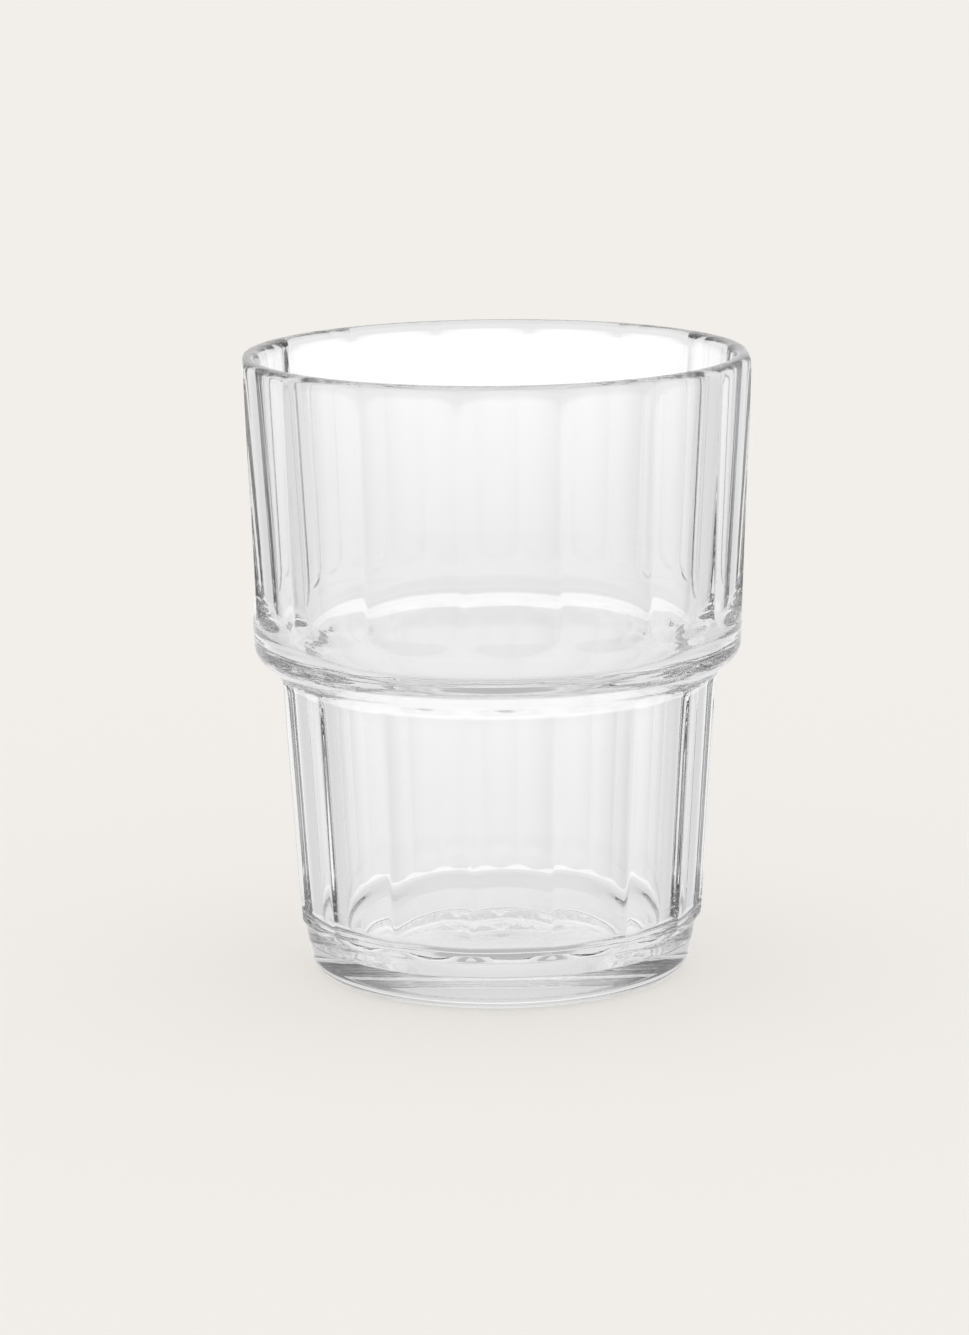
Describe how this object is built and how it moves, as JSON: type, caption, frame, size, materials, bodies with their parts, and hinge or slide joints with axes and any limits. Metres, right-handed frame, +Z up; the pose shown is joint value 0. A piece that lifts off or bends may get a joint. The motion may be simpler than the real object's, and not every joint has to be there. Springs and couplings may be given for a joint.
{
  "type": "stacking glass tumbler",
  "caption": "Clear pressed-glass stacking tumbler for a cortado: flat panels round a wide upper and a narrower lower wall, round shoulder between, thick foot.",
  "frame": {"origin": "centre of the foot's standing ring, on the table", "axes": "+Z up along the axis of the glass, -Y through the middle of the panel that faces the viewer, +X to the viewer's right"},
  "size_m": [0.071, 0.071, 0.0885],
  "materials": {
    "glass": "clear pressed soda-lime glass, fire-polished"
  },
  "bodies": {
    "root": {"tumbler": "glass"}
  },
  "joints": []
}
